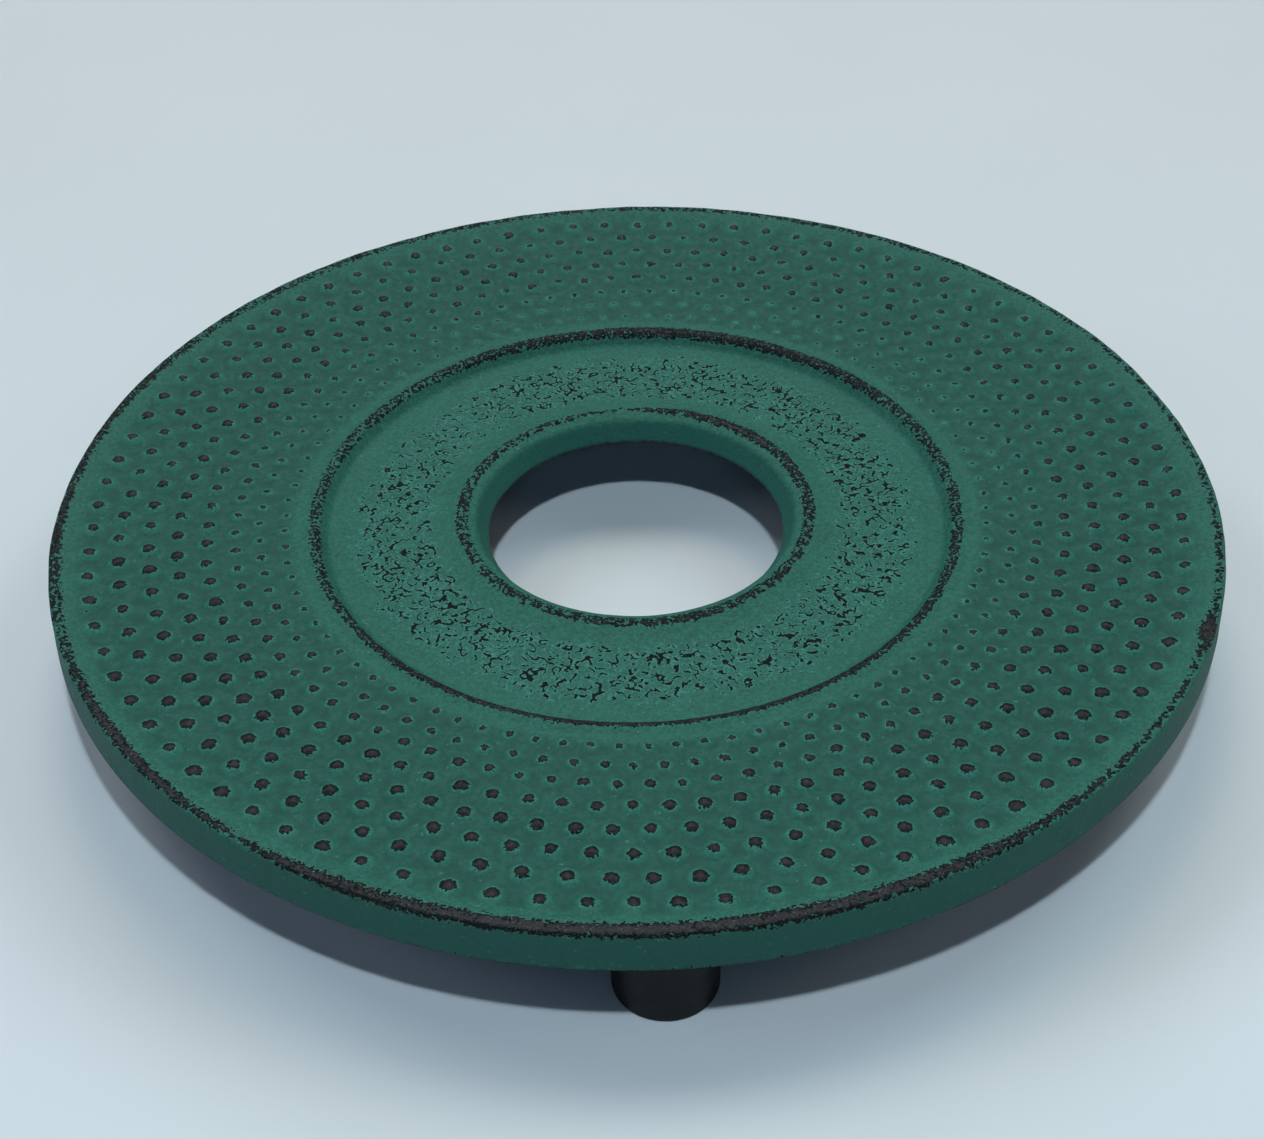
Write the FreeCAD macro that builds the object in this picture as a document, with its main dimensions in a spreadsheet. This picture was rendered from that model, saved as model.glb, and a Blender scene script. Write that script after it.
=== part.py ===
import FreeCAD, Part
import math
import os
import Sketcher
from types import SimpleNamespace

# Round cast-iron teapot trivet: one painted casting that stands on three push-on rubber feet.
# Frame: millimetres, +Z up, origin on the tabletop under the centre of the hole.
# The front foot is on the -Y side.

DIMENSIONS = [
    # rim of the plate
    ("rim_radius", 75.20, "radius at the rim's lower edge"),
    ("rim_draft", 0.15, "taper of the rim's side"),
    ("rim_base", 11.05, "height of the rim's lower edge"),
    ("rim_top", 16.50, "height of the rim's crest"),
    ("rim_crest", 1.60, "width of the rim's crest, with its rounded corner"),
    ("rim_corner", 0.55, "rounding between the crest and the side"),
    ("rim_lip", 3.00, "width of the flat lip under the rim"),
    ("lip_slope", 0.50, "radial length of the slope from the lip up to the underside"),
    # band that carries the hobnails
    ("band_outer", 70.90, "outer radius of the hobnail band"),
    ("band_outer_height", 15.50, "height of the band at its outer radius"),
    ("band_inner", 44.20, "inner radius of the hobnail band"),
    ("band_inner_height", 14.72, "height of the band at its inner radius"),
    # raised ring and the recessed band inside it
    ("ring_radius", 42.10, "radius of the raised ring's crest"),
    ("ring_height", 15.05, "height of the raised ring's crest"),
    ("ring_width", 2.20, "width of the raised ring's rounded top"),
    ("ring_crest_arc", 1.65, "arc radius of the ring's rounded top"),
    ("ring_slope_arc", 2.20, "arc radius of the slope outside the ring"),
    ("ring_foot", 40.05, "radius where the ring's inner slope ends"),
    ("recess_height", 13.50, "height of the recessed band"),
    ("crest_drop", 0.30, "drop from the crest of the ring or the collar to its edges"),
    # collar and hole
    ("collar_radius", 22.85, "radius of the collar's crest"),
    ("collar_height", 14.35, "height of the collar's crest"),
    ("collar_width", 1.90, "width of the collar's rounded top"),
    ("collar_crest_arc", 1.45, "arc radius of the collar's rounded top"),
    ("collar_slope_arc", 2.85, "arc radius of the slope outside the collar"),
    ("collar_foot", 25.70, "radius where the collar's outer slope ends"),
    ("mouth_radius", 20.90, "radius of the hole's upper edge"),
    ("mouth_height", 13.85, "height of the hole's upper edge"),
    ("throat_radius", 19.20, "radius of the hole at its narrowest"),
    ("throat_height", 11.30, "height of the hole's narrowest place"),
    ("hole_base", 19.70, "radius of the hole at the underside"),
    # underside of the plate
    ("underside_outer", 12.35, "height of the underside below the hobnail band"),
    ("underside_inner", 10.60, "height of the underside below the recessed band"),
    ("underside_slope", 1.50, "radial length of the slope between the two undersides"),
    # hobnails
    ("nail_count", 88, "hobnails in each ring"),
    ("nail_height", 0.72, "height of an outer hobnail above the band"),
    ("nail_sink", 0.60, "depth that a hobnail reaches into the band"),
    ("nail_top_share", 0.17, "top radius of a hobnail, as a share of the pitch"),
    ("nail_foot_share", 0.36, "foot radius of a hobnail, as a share of the pitch"),
    ("nail_turn", -0.90, "angle of the first hobnail of the odd rings"),
    # bosses and studs for the feet
    ("foot_count", 3, "number of feet"),
    ("foot_circle", 67.00, "radius of the circle that the feet stand on"),
    ("boss_radius", 6.40, "radius of the cast boss above a foot"),
    ("boss_base", 10.60, "height of the boss's lower face"),
    ("boss_root", 0.50, "depth that a boss reaches into the plate"),
    ("stud_radius", 3.20, "radius of the cast stud inside a foot"),
    ("stud_base", 4.20, "height of the stud's lower end"),
    # rubber feet
    ("foot_radius", 6.05, "radius of a foot at the floor"),
    ("foot_draft", 0.10, "taper of a foot's side"),
    ("foot_round", 0.35, "rounding of a foot's lower edge"),
    ("socket_gap", 0.10, "gap between a stud and its socket"),
    ("socket_base", 4.00, "height of the socket's floor"),
]

# Radii of the eight hobnail rings, as shares of the rim radius, and how tall each ring stands.
NAIL_RINGS = [
    ("nail_ring_1", 0.6050, 0.50),
    ("nail_ring_2", 0.6470, 0.58),
    ("nail_ring_3", 0.6886, 0.70),
    ("nail_ring_4", 0.7368, 0.86),
    ("nail_ring_5", 0.7850, 0.97),
    ("nail_ring_6", 0.8335, 1.00),
    ("nail_ring_7", 0.8831, 1.00),
    ("nail_ring_8", 0.9329, 1.00),
]


class Size:
    """A size that carries its value and the spreadsheet expression that it comes from."""

    def __init__(self, value, text):
        self.value = value
        self.text = text

    def _join(self, other, sign, value):
        other_text = other.text if isinstance(other, Size) else repr(other)
        return Size(value, "(%s %s %s)" % (self.text, sign, other_text))

    def __add__(self, other):
        return self._join(other, "+", self.value + plain(other))

    def __sub__(self, other):
        return self._join(other, "-", self.value - plain(other))

    def __mul__(self, other):
        return self._join(other, "*", self.value * plain(other))

    def __truediv__(self, other):
        return self._join(other, "/", self.value / plain(other))


def plain(size):
    return size.value if isinstance(size, Size) else size


def cosine(angle):
    return Size(math.cos(math.radians(angle.value)), "cos(%s * 1 deg)" % angle.text)


def sine(angle):
    return Size(math.sin(math.radians(angle.value)), "sin(%s * 1 deg)" % angle.text)


def make_sheet(doc):
    """Write the driving dimensions to a spreadsheet and return them as named sizes."""
    sheet = doc.addObject("Spreadsheet::Sheet", "Dimensions")
    rows = list(DIMENSIONS)
    for name, share, rise in NAIL_RINGS:
        rows.append((name + "_share", share, "radius of this ring over the rim radius"))
        rows.append((name + "_rise", rise, "height of this ring's hobnails over nail_height"))
    sizes = SimpleNamespace()
    for number, (alias, value, note) in enumerate(rows, start=1):
        sheet.set("A%d" % number, note)
        sheet.set("B%d" % number, str(value))
        sheet.setAlias("B%d" % number, alias)
        setattr(sizes, alias, Size(value, "Dimensions." + alias))
    doc.recompute()
    return sizes


def origin_feature(body, role):
    return next(item for item in body.Origin.OriginFeatures if item.Role == role)


def make_body(doc, label):
    body = doc.addObject("PartDesign::Body", label)
    body.Label = label
    return body


def make_sketch(body, name):
    """An empty sketch on the body's own XZ plane, so sketch X is the radius and sketch Y is the height."""
    sketch = body.newObject("Sketcher::SketchObject", name)
    sketch.AttachmentSupport = [(origin_feature(body, "XZ_Plane"), "")]
    sketch.MapMode = "FlatFace"
    return sketch


def bind(sketch, kind, name, size, *where):
    """Add a dimensional constraint whose value follows the spreadsheet."""
    index = sketch.addConstraint(Sketcher.Constraint(kind, *where, size.value))
    sketch.renameConstraint(index, name)
    sketch.setExpression(".Constraints." + name, size.text)


def arc_between(start, end, radius):
    """The arc from start to end: a positive radius bends left of the way along, a negative one right."""
    chord = end - start
    half = chord.Length / 2
    sag = abs(radius) - math.sqrt(radius * radius - half * half)
    left = FreeCAD.Vector(-chord.y, chord.x, 0).normalize()
    middle = (start + end) * 0.5 + left * math.copysign(sag, radius)
    return Part.Arc(start, middle, end)


def draw_outline(sketch, outline):
    """Draw a closed outline. Each entry is (radius, height, arc): arc is None for a straight run to the
    next point, or the pair (arc radius, side) with side 1 or -1 for the side that the arc bulges to."""
    points = [FreeCAD.Vector(x.value, y.value, 0) for x, y, _ in outline]
    ends = []
    for number, (_, _, arc) in enumerate(outline):
        start = points[number]
        end = points[(number + 1) % len(points)]
        if arc is None:
            geometry = sketch.addGeometry(Part.LineSegment(start, end))
            ends.append((geometry, 1, 2))
            continue
        radius, side = arc
        geometry = sketch.addGeometry(arc_between(start, end, side * radius.value))
        forward = (sketch.getPoint(geometry, 1) - start).Length < (sketch.getPoint(geometry, 1) - end).Length
        ends.append((geometry, 1, 2) if forward else (geometry, 2, 1))
        bind(sketch, "Radius", "arc_%d" % number, radius, geometry)
    for number, (x, y, _) in enumerate(outline):
        geometry, start_end, _ = ends[number]
        before, _, finish_end = ends[number - 1]
        sketch.addConstraint(Sketcher.Constraint("Coincident", before, finish_end, geometry, start_end))
        if x.value == 0:
            sketch.addConstraint(Sketcher.Constraint("PointOnObject", geometry, start_end, -2))
        else:
            bind(sketch, "DistanceX", "radius_%d" % number, x, -1, 1, geometry, start_end)
        if y.value == 0:
            sketch.addConstraint(Sketcher.Constraint("PointOnObject", geometry, start_end, -1))
        else:
            bind(sketch, "DistanceY", "height_%d" % number, y, -1, 1, geometry, start_end)


def revolve(body, name, outline):
    """A PartDesign revolution of the outline about the body's Z axis."""
    sketch = make_sketch(body, name + "_profile")
    draw_outline(sketch, outline)
    feature = body.newObject("PartDesign::Revolution", name)
    feature.Profile = sketch
    feature.ReferenceAxis = (sketch, ["V_Axis"])
    feature.Angle = 360
    body.Tip = feature
    return feature


def place(feature, x, y, z):
    for axis, size in (("x", x), ("y", y), ("z", z)):
        feature.setExpression("Placement.Base." + axis, size.text)


def polar_copies(doc, body, feature, name, count):
    """Repeat a feature round the body's Z axis."""
    doc.recompute()
    pattern = body.newObject("PartDesign::PolarPattern", name)
    pattern.Originals = [feature]
    pattern.Axis = (origin_feature(body, "Z_Axis"), [""])
    pattern.Angle = 360
    pattern.setExpression("Occurrences", count.text)
    body.Tip = pattern
    return pattern


def plate_outline(size):
    """Half section of the casting, from the hole's lower edge, over the top and back along the underside."""
    ring_edge = size.ring_height - size.crest_drop
    collar_edge = size.collar_height - size.crest_drop
    half_ring = size.ring_width / 2
    half_collar = size.collar_width / 2
    rim_side = size.rim_radius - size.rim_draft
    lip_inside = size.rim_radius - size.rim_lip
    return [
        (size.hole_base, size.underside_inner, None),
        (size.throat_radius, size.throat_height, None),
        (size.mouth_radius, size.mouth_height, None),
        (size.collar_radius - half_collar, collar_edge, (size.collar_crest_arc, 1)),
        (size.collar_radius + half_collar, collar_edge, (size.collar_slope_arc, -1)),
        (size.collar_foot, size.recess_height, None),
        (size.ring_foot, size.recess_height, None),
        (size.ring_radius - half_ring, ring_edge, (size.ring_crest_arc, 1)),
        (size.ring_radius + half_ring, ring_edge, (size.ring_slope_arc, -1)),
        (size.band_inner, size.band_inner_height, None),
        (size.band_outer, size.band_outer_height, None),
        (rim_side - size.rim_crest, size.rim_top, None),
        (rim_side - size.rim_corner, size.rim_top, (size.rim_corner, 1)),
        (rim_side, size.rim_top - size.rim_corner, None),
        (size.rim_radius, size.rim_base, None),
        (lip_inside, size.rim_base, None),
        (lip_inside - size.lip_slope, size.underside_outer, None),
        (size.ring_radius, size.underside_outer, None),
        (size.ring_foot - size.underside_slope, size.underside_inner, None),
    ]


def add_hobnails(doc, body, size):
    """Eight staggered rings of hobnails: each is a blunt cone that grows out of the sloping band."""
    slope = (size.band_outer_height - size.band_inner_height) / (size.band_outer - size.band_inner)
    half_pitch = Size(180.0, "180") / size.nail_count
    for number, (name, _, _) in enumerate(NAIL_RINGS):
        radius = size.rim_radius * getattr(size, name + "_share")
        pitch = radius * 2 * math.pi / size.nail_count
        turn = size.nail_turn + half_pitch * (number % 2)
        band_height = size.band_inner_height + slope * (radius - size.band_inner)
        nail = body.newObject("PartDesign::AdditiveCone", name)
        nail.setExpression("Radius1", (pitch * size.nail_foot_share).text)
        nail.setExpression("Radius2", (pitch * size.nail_top_share).text)
        rise = size.nail_height * getattr(size, name + "_rise")
        nail.setExpression("Height", (size.nail_sink + rise).text)
        place(nail, radius * cosine(turn), radius * sine(turn), band_height - size.nail_sink)
        polar_copies(doc, body, nail, name + "_copies", size.nail_count)


def add_foot_studs(doc, body, size):
    """A cast boss and stud above each foot."""
    for name, radius, base in (
        ("foot_boss", size.boss_radius, size.boss_base),
        ("foot_stud", size.stud_radius, size.stud_base),
    ):
        post = body.newObject("PartDesign::AdditiveCylinder", name)
        post.setExpression("Radius", radius.text)
        post.setExpression("Height", (size.underside_outer + size.boss_root - base).text)
        place(post, size.rim_radius * 0, size.foot_circle * -1, base)
        polar_copies(doc, body, post, name + "_copies", size.foot_count)


def make_plate(doc, size):
    body = make_body(doc, "trivet_plate")
    revolve(body, "casting", plate_outline(size))
    add_foot_studs(doc, body, size)
    add_hobnails(doc, body, size)
    return body


def make_foot(doc, size, number):
    """One rubber foot: a blunt plug with a blind socket for the stud."""
    body = make_body(doc, "rubber_foot_%d" % number)
    centre = Size(0.0, "0")
    socket_radius = size.stud_radius + size.socket_gap
    revolve(body, "foot_%d" % number, [
        (centre, centre, None),
        (size.foot_radius - size.foot_round, centre, (size.foot_round, -1)),
        (size.foot_radius, size.foot_round, None),
        (size.foot_radius + size.foot_draft, size.boss_base, None),
        (socket_radius, size.boss_base, None),
        (socket_radius, size.socket_base, None),
        (centre, size.socket_base, None),
    ])
    turn = Size(360.0, "360") / size.foot_count * (number - 1) - 90
    place(body, size.foot_circle * cosine(turn), size.foot_circle * sine(turn), centre)
    return body


def check(doc, bodies):
    """Stop before writing anything if an object failed or a shape isn't one valid solid."""
    for item in doc.Objects:
        if "Invalid" in item.State or "Error" in item.State:
            raise RuntimeError("%s failed: %s" % (item.Name, item.State))
    for body in bodies:
        shape = body.Shape
        if shape.isNull() or not shape.isValid() or len(shape.Solids) != 1:
            raise RuntimeError(body.Label + " isn't one valid solid")


def main():
    os.makedirs("parts", exist_ok=True)
    doc = FreeCAD.newDocument("TeapotTrivet")
    size = make_sheet(doc)
    bodies = [make_plate(doc, size)]
    for number in range(1, size.foot_count.value + 1):
        bodies.append(make_foot(doc, size, number))
    doc.recompute()
    check(doc, bodies)
    for body in bodies:
        box = body.Shape.BoundBox
        print("%-15s volume %9.1f mm3, %6.2f x %6.2f x %5.2f mm, lowest %.2f" % (
            body.Label, body.Shape.Volume, box.XLength, box.YLength, box.ZLength, box.ZMin))
        body.Shape.exportStep("parts/%s.step" % body.Label)


main()
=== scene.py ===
"""Cast-iron teapot trivet: green hobnailed plate with worn edges, standing on three rubber feet."""
import math

import bpy
import numpy as np
from mathutils import Matrix, Vector, noise


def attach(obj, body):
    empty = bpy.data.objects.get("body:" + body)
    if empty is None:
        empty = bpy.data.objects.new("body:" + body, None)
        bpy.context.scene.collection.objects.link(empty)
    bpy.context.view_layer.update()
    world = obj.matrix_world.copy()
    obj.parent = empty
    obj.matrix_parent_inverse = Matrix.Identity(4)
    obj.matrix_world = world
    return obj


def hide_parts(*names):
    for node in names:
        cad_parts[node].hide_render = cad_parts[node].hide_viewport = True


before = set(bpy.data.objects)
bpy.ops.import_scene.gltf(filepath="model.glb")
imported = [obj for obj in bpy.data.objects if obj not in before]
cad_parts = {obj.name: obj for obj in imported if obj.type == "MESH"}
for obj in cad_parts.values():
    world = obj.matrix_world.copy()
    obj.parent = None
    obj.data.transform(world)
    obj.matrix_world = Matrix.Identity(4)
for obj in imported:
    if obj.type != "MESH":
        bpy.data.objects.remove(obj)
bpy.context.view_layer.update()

MM = 0.001

# ---------------------------------------------------------------- sizes, in millimetres
NAILS = 88                       # hobnails in each ring
NAIL_RINGS = (45.5, 48.65, 51.78, 55.41, 59.03, 62.68, 66.41, 70.15)
NAIL_TURN = -0.9                 # degrees, first hobnail of the even rings
FINE = NAILS * 12                # columns round the hobnail band and the rim
MEDIUM = FINE // 2               # columns round the ring, the recess and the collar
COARSE = FINE // 4               # columns round the underside
FAR = 9.0                        # stored where no hobnail is near
NOT_WORN = -3.0                  # stored where no worn stripe is near
UNDERSIDE_TOP = 12.7             # everything below this height is the underside or an upright face
RECESS_FLOOR, RECESS_TOP = 13.0, 14.3    # heights between which the recessed band lies
RIM_SIDE = 74.0                  # beyond this radius the surface is the rim's crest or side
FOOT_CIRCLE = 67.0
FOOT_AZIMUTHS = (-90.0, 30.0, 150.0)

# Outline of the casting, from the hole's lower edge over the top to the rim and back underneath:
# radius, height, rounding, spacing of the points on the way to the next corner.
HOLE = [
    (19.75, 10.62, 0.35, 0.4),
    (19.20, 11.30, 0.40, 0.4),
    (20.85, 13.80, 0.55, 0.3),
    (21.85, 14.15, 0.5, 0.3),
    (22.80, 14.44, 0.6, 0.3),
    (23.75, 14.20, 0.5, 0.4),
    (25.20, 13.85, 2.0, 0.6),
    (29.00, 13.52, 6.0, 0.6),
]
RECESS_END = (39.95, 13.45, 0.5, 0.3)
RING = [
    (41.15, 14.85, 0.45, 0.25),
    (42.05, 15.08, 0.7, 0.25),
    (43.30, 14.75, 0.8, 0.35),
    (45.20, 14.80, 1.0, 0.42),
    (70.50, 15.42, 4.0, 0.42),
    (73.20, 16.45, 1.1, 0.30),
    (74.98, 16.56, 0.42, 0.20),
    (75.20, 11.05, 0.22, 0.40),
]
UNDER = [
    (72.10, 11.05, 0.3, 0.6),
    (71.60, 12.30, 0.5, 1.6),
    (42.10, 12.35, 3.0, 1.6),
    (38.50, 10.62, 3.0, 1.4),
]


# ---------------------------------------------------------------- the casting's mesh
MOST_REACH = 0.48                # the share of a span that one corner's rounding may take
TURN_STEPS = 6                   # points round each corner


def rounded_path(corners, closed=False):
    """Points along a run of corners: each corner is turned with its rounding, and long spans are divided."""
    count = len(corners)
    places = [np.array(c[:2], float) for c in corners]
    points = []
    for i in range(count):
        here, rounding, spacing = places[i], corners[i][2], corners[i][3]
        if closed or 0 < i < count - 1:
            before, after = places[i - 1], places[(i + 1) % count]
            back, on = before - here, after - here
            reach = min(rounding, MOST_REACH * np.linalg.norm(back), MOST_REACH * np.linalg.norm(on))
            start = here + back / np.linalg.norm(back) * reach
            stop = here + on / np.linalg.norm(on) * reach
            for j in range(TURN_STEPS + 1):
                t = j / TURN_STEPS
                points.append((1 - t) ** 2 * start + 2 * t * (1 - t) * here + t * t * stop)
            leave = stop
        else:
            points.append(here)
            leave = here
        if closed or i < count - 1:
            target = places[(i + 1) % count]
            arrive_rounding = corners[(i + 1) % count][2] if (closed or i + 1 < count - 1) else 0
            whole = np.linalg.norm(target - here)
            nxt = places[(i + 2) % count] if (closed or i + 2 < count) else None
            reach = 0.0
            if nxt is not None:
                reach = min(arrive_rounding, MOST_REACH * whole, MOST_REACH * np.linalg.norm(nxt - target))
            arrive = target + (here - target) / whole * reach
            span = np.linalg.norm(arrive - leave)
            parts = max(1, int(round(span / spacing)))
            for j in range(1, parts):
                points.append(leave + (arrive - leave) * j / parts)
    return points


def smooth_step(low, high, value):
    t = np.clip((value - low) / (high - low), 0.0, 1.0)
    return t * t * (3 - 2 * t)


def field(x, y, z, size, seed):
    """Smooth random field in about -1..1, the same on every run."""
    total = np.zeros(len(x))
    weight = 1.0
    for octave in range(2):
        shift = seed * 17.31 + octave * 5.7
        total += weight * np.array([
            noise.noise(Vector((a / size + shift, b / size - shift, c / size + 0.5 * shift)))
            for a, b, c in zip(x, y, z)
        ])
        weight *= 0.5
        size *= 0.5
    return total


def around(azimuth, *bumps):
    """Sum of smooth humps round the circle: each is (centre, half width, both in degrees, strength)."""
    total = np.zeros(len(azimuth))
    for centre, width, strength in bumps:
        away = np.angle(np.exp(1j * (azimuth - math.radians(centre))))
        total += strength * np.exp(-0.5 * (np.degrees(away) / width) ** 2)
    return total


def hobnails(radius, azimuth):
    """For each point: height of the hobnails, distance to the nearest one, and that one's worn radius."""
    rng = np.random.default_rng(88)
    relief = np.zeros(len(radius))
    distance = np.full(len(radius), FAR)
    worn = np.zeros(len(radius))
    step = 2 * math.pi / NAILS
    for number, centre in enumerate(NAIL_RINGS):
        pitch = centre * step
        spread = 0.20 * pitch + 0.35
        height = 0.38 + 0.40 * smooth_step(44.0, 60.0, centre)
        turn = math.radians(NAIL_TURN + (180.0 / NAILS) * (number % 2))
        near = np.abs(radius - centre) < 2.6 * spread
        slot = np.round((azimuth[near] - turn) / step).astype(int)
        nail_azimuth = turn + slot * step
        slot = slot % NAILS
        tall = rng.normal(1.0, 0.08, NAILS)[slot]
        out = rng.normal(-0.02, 0.07, NAILS)[slot]
        along = rng.normal(0.06, 0.07, NAILS)[slot]
        size = np.clip(rng.normal(1.0, 0.08, NAILS), 0.75, 1.2)[slot]
        d = np.hypot(radius[near] - centre - out, centre * (azimuth[near] - nail_azimuth) - along)
        relief[near] += height * tall * np.exp(-(d / spread) ** 2.7)
        # rubbed most on the middle and outer rings, least on the inner rings and towards the back right
        rubbed = 0.42 + 0.41 * smooth_step(44.0, 59.0, centre)
        rubbed *= 1 + around(nail_azimuth, (-140, 22, 0.05), (20, 22, -0.18), (85, 45, -0.24),
                             (165, 20, -0.08))
        rubbed *= 1 - (1 - smooth_step(48.0, 54.0, centre)) * around(nail_azimuth, (85, 48, 0.50))
        closer = d < distance[near]
        index = np.nonzero(near)[0][closer]
        distance[index] = d[closer]
        worn[index] = (rubbed * size)[closer]
    return relief, distance, worn


def casting_mesh():
    """The whole casting as one closed surface of revolution with hobnails, and its wear maps."""
    outline = np.array(rounded_path(HOLE + [RECESS_END] + RING + UNDER, closed=True))
    steps = np.linalg.norm(np.roll(outline, -1, 0) - outline, axis=1)
    along = np.concatenate([[0.0], np.cumsum(steps)[:-1]])
    columns = []
    for r, z in outline:
        if (r > 40.0 and z > UNDERSIDE_TOP) or r > 74.9:
            columns.append(FINE)
        elif z > UNDERSIDE_TOP or r < 20.7:
            columns.append(MEDIUM)
        else:
            columns.append(COARSE)
    loops, radius, azimuth, height, travel = [], [], [], [], []
    for (r, z), count, s in zip(outline, columns, along):
        first = len(radius)
        loops.append((first, count))
        for k in range(count):
            radius.append(r)
            azimuth.append(2 * math.pi * k / count)
            height.append(z)
            travel.append(s)
    radius, azimuth, height = np.array(radius), np.array(azimuth), np.array(height)
    travel = np.array(travel)

    upper = (radius > 43.0) & (height > 14.0)
    relief = np.zeros(len(radius))
    distance = np.full(len(radius), FAR)
    worn = np.zeros(len(radius))
    relief[upper], distance[upper], worn[upper] = hobnails(radius[upper], azimuth[upper])
    x, y = radius * np.cos(azimuth), radius * np.sin(azimuth)

    # hand-cast unevenness: the whole surface wanders a little, and the recess is slightly wrinkled
    swell = 0.07 * field(x, y, height, 9.0, 1) + 0.03 * field(x, y, height, 2.6, 2)
    in_recess = (height > RECESS_FLOOR) & (height < RECESS_TOP)
    wrinkle = smooth_step(25.0, 27.5, radius) * (1 - smooth_step(36.0, 39.0, radius))
    wrinkle *= in_recess
    swell += 0.10 * wrinkle * field(x, y, height, 1.9, 3)
    rim_foot = (height < 11.9) & (radius > 60)
    swell[rim_foot] *= 0.4       # the rim's lower edge is truer than the rest
    out = radius + np.where(radius > RIM_SIDE, swell, 0.0)
    x, y = out * np.cos(azimuth), out * np.sin(azimuth)
    z = height + relief + swell

    vertices = np.column_stack([x, y, z]) * MM
    faces = []
    for i in range(len(loops)):
        a, na = loops[i]
        b, nb = loops[(i + 1) % len(loops)]
        if na == nb:
            faces += [(a + k, a + (k + 1) % na, b + (k + 1) % nb, b + k) for k in range(na)]
        elif na > nb:
            ratio = na // nb
            for k in range(nb):
                ring = [a + (k * ratio + j) % na for j in range(ratio + 1)]
                faces.append((*ring, b + (k + 1) % nb, b + k))
        else:
            ratio = nb // na
            for k in range(na):
                ring = [b + (k * ratio + j) % nb for j in range(ratio, -1, -1)]
                faces.append((a + k, a + (k + 1) % na, *ring))
    mesh = bpy.data.meshes.new("trivet_casting")
    mesh.from_pydata(vertices.tolist(), [], faces)
    mesh.validate()
    mesh.shade_smooth()

    def along_at(r0, z0):
        return along[np.argmin(np.hypot(outline[:, 0] - r0, outline[:, 1] - z0))]

    # how deep inside a worn stripe each point lies, for the ring, the collar and the rim; a stripe whose
    # depth stops early comes out speckled, a deeper one solid
    ring_half = 0.76 + around(azimuth, (70, 26, 0.30), (110, 16, 0.14), (-92, 42, -0.16))
    ring_most = 0.10 + around(azimuth, (-95, 30, 1.00), (75, 30, 0.42), (-30, 14, 0.12))
    ring_middle = along_at(41.65, 15.0) + around(azimuth, (-92, 42, -0.12))
    ring_depth = np.minimum((ring_half - np.abs(travel - ring_middle)) * 2.0, ring_most)
    collar_half = 0.70 + around(azimuth, (45, 26, 0.15), (95, 13, -0.52), (130, 16, -0.12), (-85, 45, 0.12))
    collar_most = 0.15 + around(azimuth, (45, 20, 0.45), (-90, 30, 0.10))
    collar_depth = np.minimum((collar_half - np.abs(travel - along_at(22.7, 14.38))) * 1.7, collar_most)
    rim_start, rim_stop = along_at(73.35, 16.40), along_at(74.95, 16.30)
    rim_half = 0.5 * (rim_stop - rim_start)
    rim_level = around(azimuth, (-88, 30, 0.14), (172, 12, -0.38), (200, 5, -0.42), (215, 8, -0.22),
                       (231, 5, -0.60), (-42, 14, -0.60), (-25, 1.4, 0.9), (-4, 20, -0.60),
                       (35, 18, -0.45), (90, 36, -0.55))
    rim_most = 0.12 + around(azimuth, (-92, 24, 1.1), (215, 7, 1.0), (200, 5, -0.12), (-25, 2, 0.7),
                             (172, 12, 0.5))
    rim_middle = 0.5 * (rim_start + rim_stop) + around(azimuth, (-112, 16, 0.28), (172, 14, 0.20))
    rim_depth = np.minimum((rim_half + rim_level - np.abs(travel - rim_middle)) * 1.4, rim_most)
    edge_depth = -0.28 - np.abs(travel - along_at(75.2, 11.1))
    stripe = np.maximum.reduce([ring_depth, collar_depth, rim_depth, edge_depth, np.full(len(x), NOT_WORN)])

    # how crowded the marks in the recess are: 1 where they are crowded, 0 where there are none
    veins = smooth_step(25.0, 27.8, radius) * (1 - smooth_step(34.5, 39.0, radius))
    veins *= in_recess
    veins *= 0.95 + around(azimuth, (80, 40, 0.12), (0, 34, 0.04), (-90, 38, 0.03), (200, 30, 0.10),
                           (138, 13, -0.16))

    # the green coat runs from the throat to the rim's lower edge
    coat = np.minimum(travel - along_at(19.2, 11.30), along_at(75.2, 11.06) - travel)

    # the upright faces, the rim's side and the wall of the hole, which get painted shade
    upright = np.where(radius > RIM_SIDE, 1 - smooth_step(15.8, 16.3, height), 0.0)
    upright += np.where(radius < 21.3, 1 - smooth_step(13.2, 14.0, height), 0.0)

    # the hobnail band, where the valleys are darkened: painted shade, and partly enamel pooled there
    band = smooth_step(44.0, 45.6, radius) * (1 - smooth_step(70.8, 72.4, radius)) * (height > 14.0)

    maps = {
        "nail_distance": distance, "nail_worn": worn, "relief": relief, "band": band,
        "stripe": stripe, "veins": veins, "coat": coat, "upright": upright,
    }
    add_maps(mesh, maps)
    return mesh


def add_maps(mesh, maps):
    """Store named values on the mesh's points, for the material to read."""
    for name, values in maps.items():
        attribute = mesh.attributes.new(name, "FLOAT", "POINT")
        attribute.data.foreach_set("value", np.full(len(mesh.vertices), values, np.float32))


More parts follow.
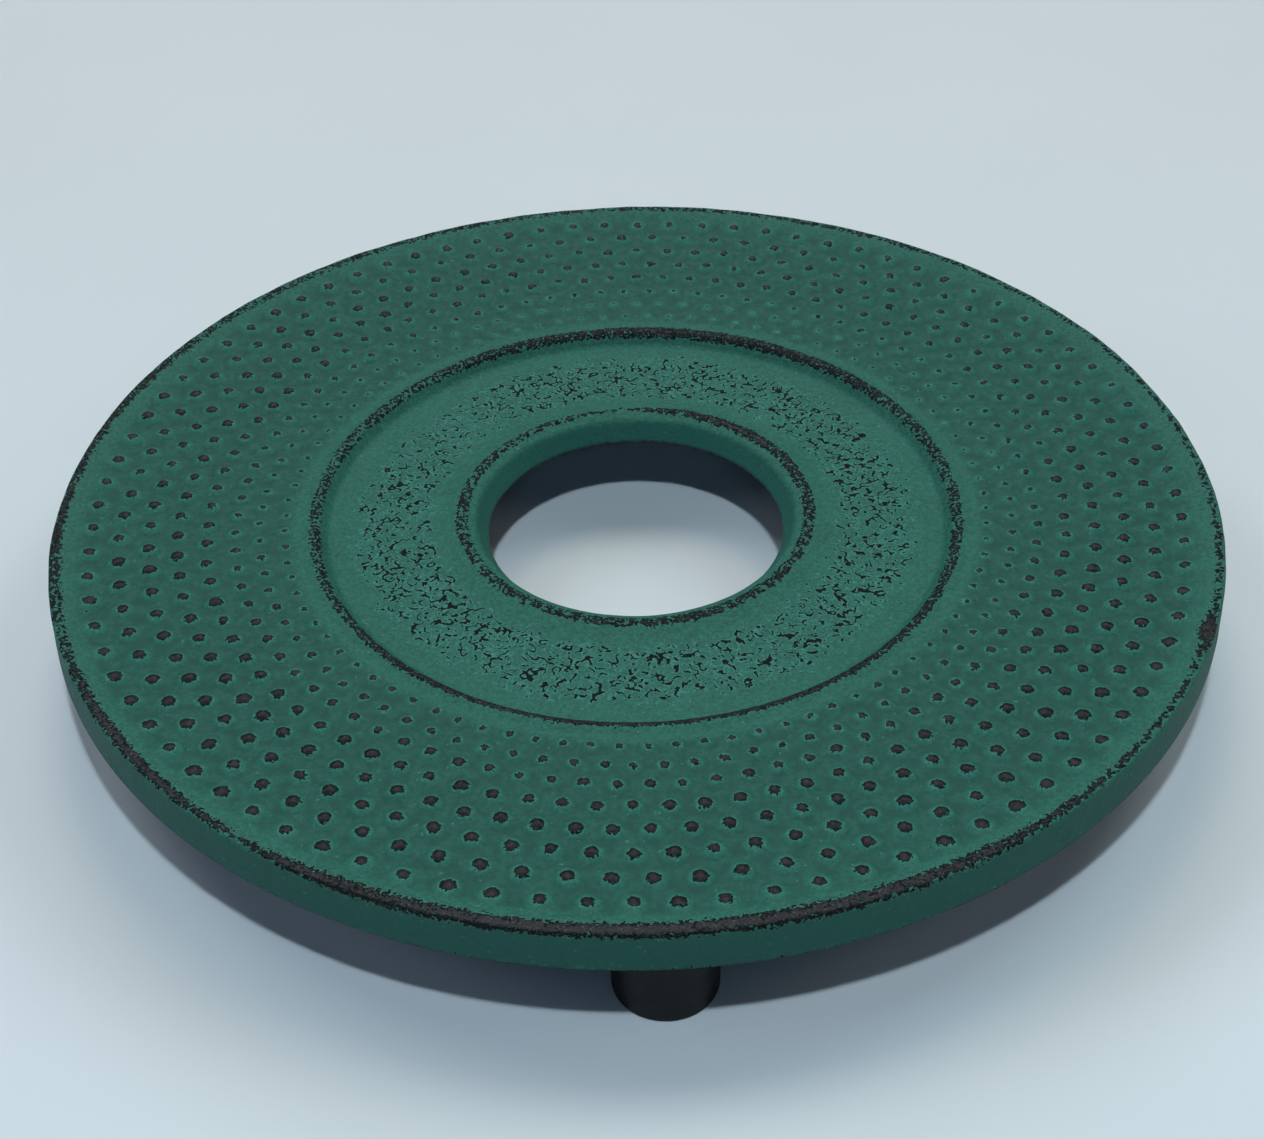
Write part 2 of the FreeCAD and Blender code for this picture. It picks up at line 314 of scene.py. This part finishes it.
def revolved(name, outline, columns, centre):
    """Closed surface of revolution about a vertical axis; outline points on the axis become one vertex."""
    vertices, rings = [], []
    for r, z in outline:
        if r < 1e-6:
            rings.append([len(vertices)] * columns)
            vertices.append((centre[0] * MM, centre[1] * MM, z * MM))
            continue
        rings.append([len(vertices) + k for k in range(columns)])
        for k in range(columns):
            angle = 2 * math.pi * k / columns
            vertices.append((
                (centre[0] + r * math.cos(angle)) * MM,
                (centre[1] + r * math.sin(angle)) * MM,
                z * MM,
            ))
    faces = []
    for lower, upper in zip(rings, rings[1:]):
        for k in range(columns):
            n = (k + 1) % columns
            corners = [lower[k], lower[n], upper[n], upper[k]]
            faces.append(tuple(dict.fromkeys(corners)))
    mesh = bpy.data.meshes.new(name)
    mesh.from_pydata(vertices, [], faces)
    mesh.validate()
    mesh.shade_smooth()
    return mesh


# ---------------------------------------------------------------- materials
ENAMEL_DEEP = (0.0172, 0.096, 0.067, 1)
ENAMEL_PLAIN = (0.0212, 0.116, 0.080, 1)
ENAMEL_LIGHT = (0.0315, 0.180, 0.128, 1)
ENAMEL_SPECK = (0.009, 0.050, 0.036, 1)
ENAMEL_POOLED_AND_SHADED = (0.0112, 0.073, 0.052, 1)    # pooled between the hobnails, and painted shade in the valleys
ENAMEL_DOME_HIGHLIGHT = (0.0310, 0.170, 0.124, 1)    # painted highlight: lighter on the hobnail domes
ENAMEL_UPRIGHT_SHADE = (0.0165, 0.098, 0.076, 1)      # painted shade on the upright faces
ENAMEL_LIP_HIGHLIGHT = (0.062, 0.245, 0.185, 1)        # painted highlight: a pale rim round every worn patch, where the enamel edge catches light
IRON_DARK = (0.004, 0.0045, 0.005, 1)
IRON_GREY = (0.012, 0.0115, 0.011, 1)
IRON_EDGE = (0.0020, 0.0046, 0.0046, 1)      # rough iron along the edge of a worn patch
IRON_GLINT = (0.070, 0.105, 0.098, 1)         # painted glints: pale flecks in the worn stripes
CASTING_DARK = (0.014, 0.015, 0.017, 1)
CASTING_LIGHT = (0.024, 0.025, 0.028, 1)
RUBBER_DARK = (0.0032, 0.0029, 0.0032, 1)
RUBBER_LIGHT = (0.0060, 0.0055, 0.0058, 1)
RUBBER_DUST = (0.05, 0.05, 0.052, 1)
PAPER_DARK = (0.745, 0.755, 0.765, 1)
PAPER_LIGHT = (0.765, 0.775, 0.785, 1)


class Nodes:
    """Short helpers that wire a node material."""

    def __init__(self, name):
        self.material = bpy.data.materials.new(name)
        self.material.use_nodes = True
        self.tree = self.material.node_tree
        self.shader = self.tree.nodes["Principled BSDF"]

    def wire(self, value, socket):
        if isinstance(value, bpy.types.NodeSocket):
            self.tree.links.new(value, socket)
        else:
            socket.default_value = value

    def node(self, kind, inputs=(), **settings):
        node = self.tree.nodes.new(kind)
        for key, value in settings.items():
            setattr(node, key, value)
        for key, value in dict(inputs).items():
            self.wire(value, node.inputs[key])
        return node

    def math(self, operation, a, b=0.0):
        return self.node("ShaderNodeMath", {0: a, 1: b}, operation=operation).outputs[0]

    def position(self):
        """Object coordinates in millimetres."""
        coordinates = self.node("ShaderNodeTexCoord").outputs["Object"]
        scaled = self.node("ShaderNodeVectorMath", {0: coordinates, "Scale": 1 / MM}, operation="SCALE")
        return scaled.outputs[0]

    def noise(self, position, size, detail=2.0, roughness=0.5, shift=0.0):
        """Noise in about -0.5..0.5, with features of about size mm."""
        moved = self.node("ShaderNodeVectorMath", {0: position, 1: (shift, -shift, 0.37 * shift)}).outputs[0]
        texture = self.node("ShaderNodeTexNoise", {
            "Vector": moved, "Scale": 1.0 / size, "Detail": detail, "Roughness": roughness})
        return self.math("SUBTRACT", texture.outputs[0], 0.5)

    def attribute(self, name):
        return self.node("ShaderNodeAttribute", attribute_name=name).outputs["Fac"]

    def step(self, value, low, high, bottom=0.0, top=1.0):
        """Bottom where value is under low, top where it is over high, and smooth between."""
        return self.node("ShaderNodeMapRange", {
            "Value": value, "From Min": low, "From Max": high, "To Min": bottom, "To Max": top,
        }, interpolation_type="SMOOTHSTEP").outputs[0]

    def mix(self, share, a, b):
        """Colour a where share is 0, colour b where it is 1."""
        node = self.node("ShaderNodeMix", data_type="RGBA")
        self.wire(share, node.inputs[0])
        self.wire(a, node.inputs[6])
        self.wire(b, node.inputs[7])
        return node.outputs[2]

    def mix_value(self, share, a, b):
        node = self.node("ShaderNodeMix", data_type="FLOAT")
        self.wire(share, node.inputs[0])
        self.wire(a, node.inputs[2])
        self.wire(b, node.inputs[3])
        return node.outputs[0]

    def bump(self, height):
        """Surface normal for a relief whose height is in millimetres."""
        return self.node("ShaderNodeBump", {"Strength": 1.0, "Distance": MM, "Height": height}).outputs[0]


def painted_iron():
    """Green enamel over cast iron, rubbed through on the high spots; bare black casting underneath."""
    n = Nodes("painted_iron")
    at = n.position()
    ragged = n.noise(at, 1.1, 2.0, 0.6, 3.0)
    grain = n.noise(at, 0.34, 2.0, 0.5, 11.0)
    speck = n.noise(at, 0.26, 1.0, 0.5, 17.0)
    shape = n.noise(at, 0.8, 1.0, 0.5, 31.0)
    rough_edge = n.math("ADD", n.math("MULTIPLY", shape, 0.55), n.math("MULTIPLY", grain, 0.85))

    # worn tops of the hobnails
    inside = n.math("SUBTRACT", n.attribute("nail_worn"), n.attribute("nail_distance"))
    nail = n.math("ADD", inside, rough_edge)
    nail = n.math("MINIMUM", nail, n.math("ADD", inside, 0.42))

    # worn stripes along the ring, the collar and the rim
    pepper = n.noise(at, 0.44, 1.5, 0.5, 13.0)
    stripe = n.math("ADD", n.attribute("stripe"), n.math("MULTIPLY", pepper, 3.2))
    stripe = n.math("ADD", stripe, n.math("MULTIPLY", ragged, 1.3))

    # short wriggling marks on the wrinkled recess: pieces of the lines where a slow noise changes sign
    crowded = n.attribute("veins")
    line = n.noise(at, 1.15, 0.6, 0.5, 23.0)
    line = n.math("ABSOLUTE", n.math("ADD", line, n.math("MULTIPLY", grain, 0.16)))
    piece = n.noise(at, 0.95, 1.5, 0.5, 29.0)
    piece = n.math("ADD", piece, n.math("MULTIPLY", crowded, 0.30))
    width = n.math("MULTIPLY", n.math("SUBTRACT", piece, 0.27), 0.85)
    width = n.math("MINIMUM", width, 0.062)
    vein = n.math("SUBTRACT", width, line)
    pit = n.math("ADD", n.noise(at, 0.6, 1.0, 0.5, 37.0), n.math("MULTIPLY", crowded, 0.16))
    vein = n.math("MAXIMUM", vein, n.math("SUBTRACT", pit, 0.345))

    def worn_through(value, softness):
        return n.step(value, -softness, softness)

    bare = n.math("MAXIMUM", worn_through(nail, 0.05), worn_through(stripe, 0.10))
    bare = n.math("MAXIMUM", bare, worn_through(vein, 0.015))
    # painted highlight round the worn patches and marks
    lip_highlight = n.math("MAXIMUM", n.step(nail, -0.24, -0.05), n.step(stripe, -0.30, -0.06))
    lip_highlight = n.math("MAXIMUM", lip_highlight, n.step(vein, -0.10, -0.02))
    # the middle of a worn patch, where the iron is rubbed grey and smooth
    core = n.math("MAXIMUM", n.step(nail, 0.05, 0.22), n.step(stripe, 0.45, 0.85))

    coat_edge = n.math("ADD", n.attribute("coat"), n.math("MULTIPLY", ragged, 0.7))
    coat = n.step(coat_edge, -0.25, 0.45)

    # green enamel with a fine mottle, darker in the valleys: partly pooled enamel, partly painted shade
    mottle = n.noise(at, 6.0, 3.0, 0.6, 40.0)
    fine = n.noise(at, 0.55, 3.0, 0.65, 51.0)
    blotch = n.noise(at, 1.6, 3.0, 0.6, 7.0)
    valley = n.step(n.attribute("relief"), 0.02, 0.34, 1.0, 0.0)
    green = n.mix(n.step(mottle, -0.22, 0.22), ENAMEL_DEEP, ENAMEL_PLAIN)
    green = n.mix(n.step(fine, -0.18, 0.20, 0.0, 0.75), green, ENAMEL_LIGHT)
    green = n.mix(n.step(speck, 0.06, 0.18, 0.0, 0.55), green, ENAMEL_SPECK)
    # painted shade between the hobnails, partly pooled enamel
    pooled_and_shaded = n.math("MULTIPLY", valley, n.attribute("band"))
    pooled_and_shaded = n.math("MULTIPLY", pooled_and_shaded, n.step(blotch, -0.16, 0.16, 0.40, 0.95))
    green = n.mix(pooled_and_shaded, green, ENAMEL_POOLED_AND_SHADED)
    # painted highlight: the hobnail domes lighter with their height
    green = n.mix(n.step(n.attribute("relief"), 0.20, 0.55, 0.0, 0.55), green, ENAMEL_DOME_HIGHLIGHT)
    # painted shade: the upright faces darker
    green = n.mix(n.math("MULTIPLY", n.attribute("upright"), 0.80), green, ENAMEL_UPRIGHT_SHADE)
    # painted highlight: a pale rim round every worn patch
    green = n.mix(n.math("MULTIPLY", lip_highlight, 0.75), green, ENAMEL_LIP_HIGHLIGHT)

    # worn patches: rough dark iron at their edges, smoother grey iron in the middle, painted glints as pale
    # flecks in stripes
    rust = n.noise(at, 0.5, 3.0, 0.6, 71.0)
    iron = n.mix(n.step(rust, -0.2, 0.25), IRON_DARK, IRON_GREY)
    iron = n.mix(core, IRON_EDGE, iron)
    # painted glints in the worn stripes
    glint = n.math("MULTIPLY", n.step(speck, 0.09, 0.17, 0.0, 0.45), n.step(stripe, -0.1, 0.1))
    iron = n.mix(glint, iron, IRON_GLINT)

    # the bare casting underneath
    scale = n.noise(at, 1.4, 3.0, 0.6, 91.0)
    black = n.mix(n.step(scale, -0.25, 0.25), CASTING_DARK, CASTING_LIGHT)

    covered = n.mix(coat, black, green)
    bare_here = n.math("MULTIPLY", bare, n.step(coat_edge, -0.6, 0.0))
    colour = n.mix(bare_here, covered, iron)
    n.wire(colour, n.shader.inputs["Base Color"])

    satin = n.step(fine, -0.3, 0.3, 0.58, 0.68)
    satin = n.mix_value(coat, 0.62, satin)
    n.wire(n.mix_value(bare_here, satin, n.mix_value(core, 0.85, 0.40)), n.shader.inputs["Roughness"])
    n.shader.inputs["Specular IOR Level"].default_value = 0.2

    # cast grain below the enamel, orange peel in it, and the step at a worn edge
    peel = n.math("MULTIPLY", n.noise(at, 0.45, 2.0, 0.5, 61.0), 0.07)
    grit = n.math("MULTIPLY", n.noise(at, 1.3, 3.0, 0.55, 67.0), 0.14)
    height = n.math("ADD", peel, grit)
    height = n.math("SUBTRACT", height, n.math("MULTIPLY", bare_here, 0.06))
    under = n.math("MULTIPLY", n.noise(at, 0.7, 3.0, 0.6, 81.0), 0.22)
    height = n.mix_value(coat, under, height)
    n.wire(n.bump(height), n.shader.inputs["Normal"])
    return n.material


def foot_rubber():
    """Black moulded rubber: matt, with a fine grain and faint dust."""
    n = Nodes("foot_rubber")
    at = n.position()
    grain = n.noise(at, 0.25, 3.0, 0.6, 5.0)
    cloud = n.noise(at, 2.5, 3.0, 0.6, 15.0)
    colour = n.mix(n.step(cloud, -0.25, 0.25), RUBBER_DARK, RUBBER_LIGHT)
    dust = n.math("MULTIPLY", n.step(grain, 0.16, 0.30), 0.35)
    colour = n.mix(dust, colour, RUBBER_DUST)
    n.wire(colour, n.shader.inputs["Base Color"])
    n.wire(n.step(cloud, -0.3, 0.3, 0.48, 0.62), n.shader.inputs["Roughness"])
    n.shader.inputs["Specular IOR Level"].default_value = 0.3
    n.wire(n.bump(n.math("MULTIPLY", grain, 0.03)), n.shader.inputs["Normal"])
    return n.material


def floor_paper():
    n = Nodes("floor_paper")
    at = n.position()
    cloud = n.noise(at, 60.0, 2.0, 0.5, 2.0)
    colour = n.mix(n.step(cloud, -0.3, 0.3), PAPER_DARK, PAPER_LIGHT)
    n.wire(colour, n.shader.inputs["Base Color"])
    n.shader.inputs["Roughness"].default_value = 0.85
    n.shader.inputs["Specular IOR Level"].default_value = 0.15
    return n.material


# ---------------------------------------------------------------- pieces
def add(name, mesh, material):
    piece = bpy.data.objects.new(name, mesh)
    bpy.context.scene.collection.objects.link(piece)
    mesh.materials.append(material)
    return piece


enamel = painted_iron()
rubber = foot_rubber()

plate = add("plate", casting_mesh(), enamel)
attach(plate, "root")
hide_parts("trivet_plate")

for number, azimuth in enumerate(FOOT_AZIMUTHS, start=1):
    centre = (FOOT_CIRCLE * math.cos(math.radians(azimuth)), FOOT_CIRCLE * math.sin(math.radians(azimuth)))
    # dished underneath, rounded at the floor, with a blind socket for the stud
    foot_outline = rounded_path([
        (0.0, 0.35, 0.0, 1.0), (3.4, 0.30, 0.8, 0.6), (4.1, 0.0, 0.3, 0.6), (6.05, 0.0, 0.35, 0.8),
        (6.15, 10.6, 0.25, 1.2), (3.3, 10.6, 0.2, 1.0), (3.3, 4.0, 0.2, 1.6), (0.0, 4.0, 0.0, 1.0),
    ])
    foot = add("foot_%d" % number, revolved("foot_%d" % number, foot_outline, 96, centre), rubber)
    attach(foot, "root")
    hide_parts("rubber_foot_%d" % number)

    # the cast boss that rests on the foot, and the stud inside the socket
    stud_outline = rounded_path([
        (0.0, 4.2, 0.0, 1.0), (3.2, 4.2, 0.3, 1.0), (3.2, 10.62, 0.1, 1.2), (6.4, 10.62, 0.25, 1.0),
        (6.7, 12.6, 0.2, 0.8), (0.0, 12.6, 0.0, 1.4),
    ])
    stud_mesh = revolved("foot_stud_%d" % number, stud_outline, 72, centre)
    add_maps(stud_mesh, {"nail_distance": FAR, "stripe": NOT_WORN, "coat": -5.0})    # never painted
    stud = add("foot_stud_%d" % number, stud_mesh, enamel)
    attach(stud, "root")
    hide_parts("trivet_plate")

# ---------------------------------------------------------------- floor, light, camera
floor_mesh = bpy.data.meshes.new("floor")
floor_mesh.from_pydata([(-4, -4, 0), (4, -4, 0), (4, 4, 0), (-4, 4, 0)], [], [(0, 1, 2, 3)])
floor = add("floor", floor_mesh, floor_paper())


def area_light(name, place, size, power, colour, shape):
    """A light that points at the origin, on the table under the plate."""
    data = bpy.data.lights.new(name, "AREA")
    data.shape = shape
    data.size = size
    data.energy = power
    data.color = colour
    light = bpy.data.objects.new(name, data)
    light.location = place
    light.rotation_euler = (-Vector(place)).to_track_quat("-Z", "Y").to_euler()
    bpy.context.scene.collection.objects.link(light)


def on_dome(azimuth, height, distance):
    """A place at that azimuth and elevation, in degrees, round the object."""
    a, e = math.radians(azimuth), math.radians(height)
    level = distance * math.cos(e)
    return (level * math.cos(a), level * math.sin(a), distance * math.sin(e))


area_light("lamp", (-0.002, -0.226, 0.480), 0.03, 1.04, (0.68, 0.87, 1.0), "DISK")
SOFT_BOXES = (
    # azimuth, elevation, watts, colour
    (90, 60, 2.5, (1.0, 0.93, 0.73)),
    (90, 35, 1.8, (0.74, 0.78, 1.0)),
    (140, 45, 2.5, (0.83, 0.95, 1.0)),
    (40, 45, 2.5, (0.81, 0.98, 1.0)),
    (180, 28, 1.6, (0.65, 0.79, 1.0)),
    (0, 28, 1.1, (0.92, 0.98, 1.0)),
    (-90, 28, 0.9, (0.34, 0.66, 1.0)),
)
BOX_DISTANCE = 1.1               # metres
BOX_SIZE = 0.42
SPREAD = 2.0                     # the boxes are moved out and enlarged by this, and made as much brighter
for number, (azimuth, height, watts, colour) in enumerate(SOFT_BOXES, start=1):
    area_light("softbox_%d" % number, on_dome(azimuth, height, BOX_DISTANCE * SPREAD),
               BOX_SIZE * SPREAD, watts * SPREAD ** 2, colour, "SQUARE")

world = bpy.data.worlds.new("studio")
bpy.context.scene.world = world
world.use_nodes = True
studio = world.node_tree
studio.nodes["Background"].inputs[0].default_value = (0.60, 0.70, 0.78, 1)
seen = studio.nodes.new("ShaderNodeLightPath").outputs["Is Camera Ray"]
studio.links.new(seen, studio.nodes["Background"].inputs[1])

camera_data = bpy.data.cameras.new("camera")
camera_data.sensor_width = 36.0
camera_data.lens = 61.81
camera_data.clip_start = 0.01
camera = bpy.data.objects.new("camera", camera_data)
elevation = math.radians(39.134)
roll = math.radians(-1.2727)
swing = math.radians(-1.8)
BACK, LEFT, DOWN = 3.7745, 0.00835, 0.11227    # from the middle of the plate, in plate radii
PLATE_RADIUS = 75                # millimetres
AIM_HEIGHT = 15
back = Vector((0, -math.cos(elevation), math.sin(elevation)))
side = Vector((1, 0, 0))
up = Vector((0, math.sin(elevation), math.cos(elevation)))
place = (back * BACK - side * LEFT - up * DOWN) * PLATE_RADIUS * MM + Vector((0, 0, AIM_HEIGHT * MM))
right = side * math.cos(roll) + up * math.sin(roll)
top = up * math.cos(roll) - side * math.sin(roll)
turn = Matrix.Rotation(swing, 4, "Z")
camera.matrix_world = turn @ Matrix((
    (right.x, top.x, back.x, place.x),
    (right.y, top.y, back.y, place.y),
    (right.z, top.z, back.z, place.z),
    (0, 0, 0, 1),
))
bpy.context.scene.collection.objects.link(camera)
bpy.context.scene.camera = camera

bpy.context.scene.view_settings.view_transform = "Standard"
bpy.context.scene.view_settings.look = "None"
